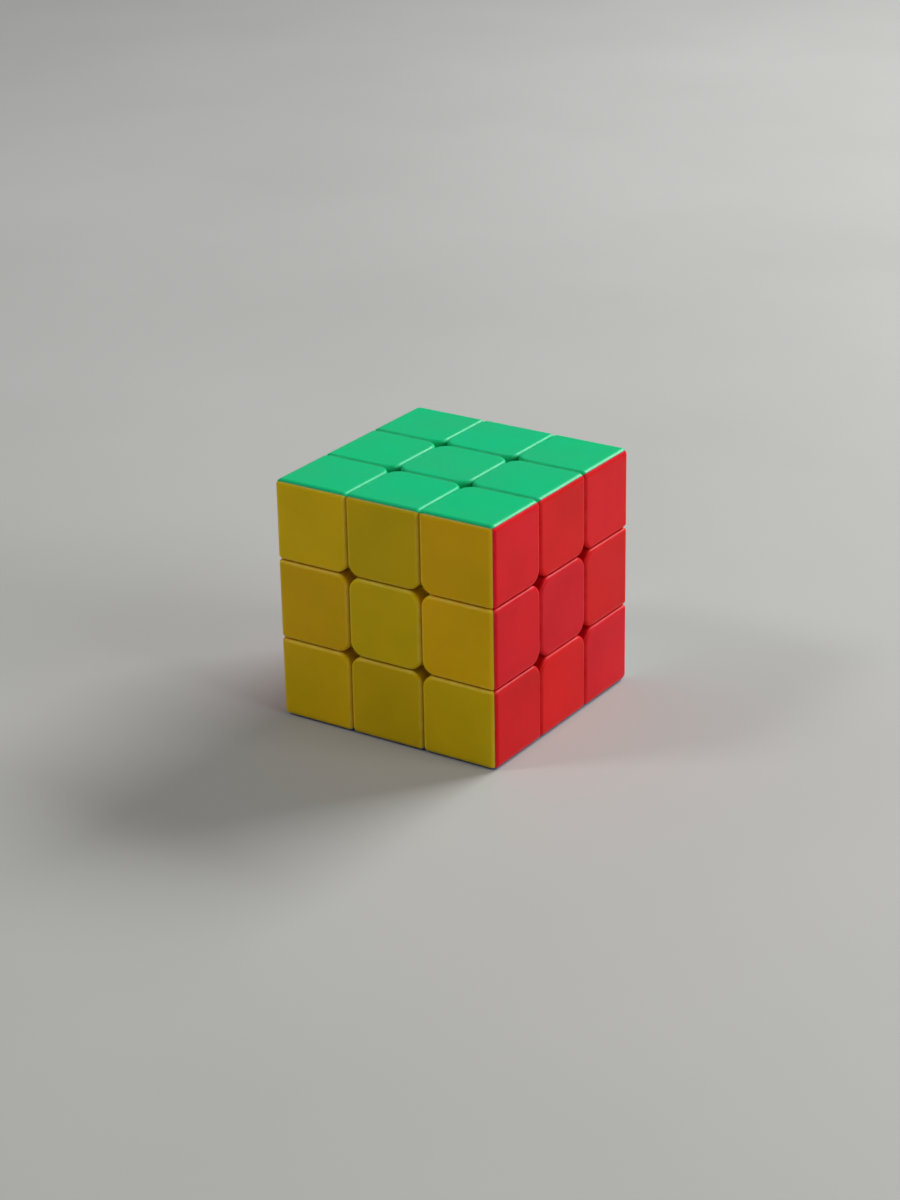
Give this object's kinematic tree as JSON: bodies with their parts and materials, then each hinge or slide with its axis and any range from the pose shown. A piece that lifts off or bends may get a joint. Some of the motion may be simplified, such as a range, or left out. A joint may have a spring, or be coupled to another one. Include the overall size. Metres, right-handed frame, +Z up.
{
  "type": "twist cube puzzle",
  "caption": "cube puzzle of equal blocks, one plastic colour per face, whose top and bottom layers turn on a sprung core and whose side centres pull out against springs",
  "frame": {"origin": "centre of the bottom face, on the surface that the cube stands on", "axes": "+Z up; the front (yellow) face looks along -Y and the right (red) face along +X"},
  "size_m": [0.056, 0.056, 0.056],
  "materials": {
    "green_plastic": "moulded, smooth and glossy, coloured right through",
    "blue_plastic": "moulded, smooth and glossy, coloured right through",
    "yellow_plastic": "moulded, smooth and glossy, coloured right through",
    "red_plastic": "moulded, smooth and glossy, coloured right through",
    "white_plastic": "moulded, smooth and glossy, coloured right through",
    "orange_plastic": "moulded, smooth and glossy, coloured right through",
    "foot_plastic": "uncoloured, moulded, satin where it slides",
    "core_plastic": "moulded nylon, satin",
    "screw_steel": "zinc-plated steel",
    "washer_steel": "stamped steel",
    "spring_steel": "drawn spring wire"
  },
  "bodies": {
    "core_frame": {"core": "core_plastic", "centre_screws": "screw_steel", "side_washers": "washer_steel", "front_spring": "spring_steel", "right_spring": "spring_steel", "back_spring": "spring_steel", "left_spring": "spring_steel", "middle_edge_halves_orange": "orange_plastic", "middle_edge_halves_red": "red_plastic", "middle_edge_halves_white": "white_plastic", "middle_edge_halves_yellow": "yellow_plastic"},
    "top_spindle": {"top_spring": "spring_steel", "top_washer": "washer_steel"},
    "top_layer": {"top_back_edge_half_white": "white_plastic", "top_back_left_corner_shell_orange": "orange_plastic", "top_back_left_corner_shell_white": "white_plastic", "top_centre_body": "green_plastic", "top_centre_cap": "green_plastic", "top_corner_feet": "foot_plastic", "top_corner_shells_green": "green_plastic", "top_edge_halves_green": "green_plastic", "top_front_edge_half_yellow": "yellow_plastic", "top_front_right_corner_shell_red": "red_plastic", "top_front_right_corner_shell_yellow": "yellow_plastic", "top_left_edge_half_orange": "orange_plastic", "top_left_front_corner_shell_orange": "orange_plastic", "top_left_front_corner_shell_yellow": "yellow_plastic", "top_right_back_corner_shell_red": "red_plastic", "top_right_back_corner_shell_white": "white_plastic", "top_right_edge_half_red": "red_plastic"},
    "bottom_spindle": {"bottom_spring": "spring_steel", "bottom_washer": "washer_steel"},
    "bottom_layer": {"bottom_back_edge_half_white": "white_plastic", "bottom_back_left_corner_shell_orange": "orange_plastic", "bottom_back_left_corner_shell_white": "white_plastic", "bottom_centre_body": "blue_plastic", "bottom_centre_cap": "blue_plastic", "bottom_corner_feet": "foot_plastic", "bottom_corner_shells_blue": "blue_plastic", "bottom_edge_halves_blue": "blue_plastic", "bottom_front_edge_half_yellow": "yellow_plastic", "bottom_front_right_corner_shell_red": "red_plastic", "bottom_front_right_corner_shell_yellow": "yellow_plastic", "bottom_left_edge_half_orange": "orange_plastic", "bottom_left_front_corner_shell_orange": "orange_plastic", "bottom_left_front_corner_shell_yellow": "yellow_plastic", "bottom_right_back_corner_shell_red": "red_plastic", "bottom_right_back_corner_shell_white": "white_plastic", "bottom_right_edge_half_red": "red_plastic"},
    "front_centre": {"front_centre_cap": "yellow_plastic", "front_centre_body": "yellow_plastic"},
    "right_centre": {"right_centre_cap": "red_plastic", "right_centre_body": "red_plastic"},
    "back_centre": {"back_centre_cap": "white_plastic", "back_centre_body": "white_plastic"},
    "left_centre": {"left_centre_cap": "orange_plastic", "left_centre_body": "orange_plastic"}
  },
  "joints": [
    {"name": "top_layer_turn", "type": "hinge", "parent": "core_frame", "child": "top_spindle", "pos_m": [0, 0, 0.028], "axis": [0, 0, 1], "continuous": true},
    {"name": "top_layer_lift", "type": "slide", "parent": "top_spindle", "child": "top_layer", "axis": [0, 0, 1], "range_m": [0, 0.0005], "stiffness_N_per_m": 1500, "springref_m": -0.0015, "deforming": ["top_spring"]},
    {"name": "bottom_layer_turn", "type": "hinge", "parent": "core_frame", "child": "bottom_spindle", "pos_m": [0, 0, 0.028], "axis": [0, 0, 1], "continuous": true},
    {"name": "bottom_layer_lift", "type": "slide", "parent": "bottom_spindle", "child": "bottom_layer", "axis": [0, 0, -1], "range_m": [0, 0.0005], "stiffness_N_per_m": 1500, "springref_m": -0.0015, "deforming": ["bottom_spring"]},
    {"name": "front_centre_pull", "type": "slide", "parent": "core_frame", "child": "front_centre", "axis": [0, -1, 0], "range_m": [0, 0.003], "stiffness_N_per_m": 1500, "springref_m": -0.0015, "deforming": ["front_spring"]},
    {"name": "right_centre_pull", "type": "slide", "parent": "core_frame", "child": "right_centre", "axis": [1, 0, 0], "range_m": [0, 0.003], "stiffness_N_per_m": 1500, "springref_m": -0.0015, "deforming": ["right_spring"]},
    {"name": "back_centre_pull", "type": "slide", "parent": "core_frame", "child": "back_centre", "axis": [0, 1, 0], "range_m": [0, 0.003], "stiffness_N_per_m": 1500, "springref_m": -0.0015, "deforming": ["back_spring"]},
    {"name": "left_centre_pull", "type": "slide", "parent": "core_frame", "child": "left_centre", "axis": [-1, 0, 0], "range_m": [0, 0.003], "stiffness_N_per_m": 1500, "springref_m": -0.0015, "deforming": ["left_spring"]}
  ]
}
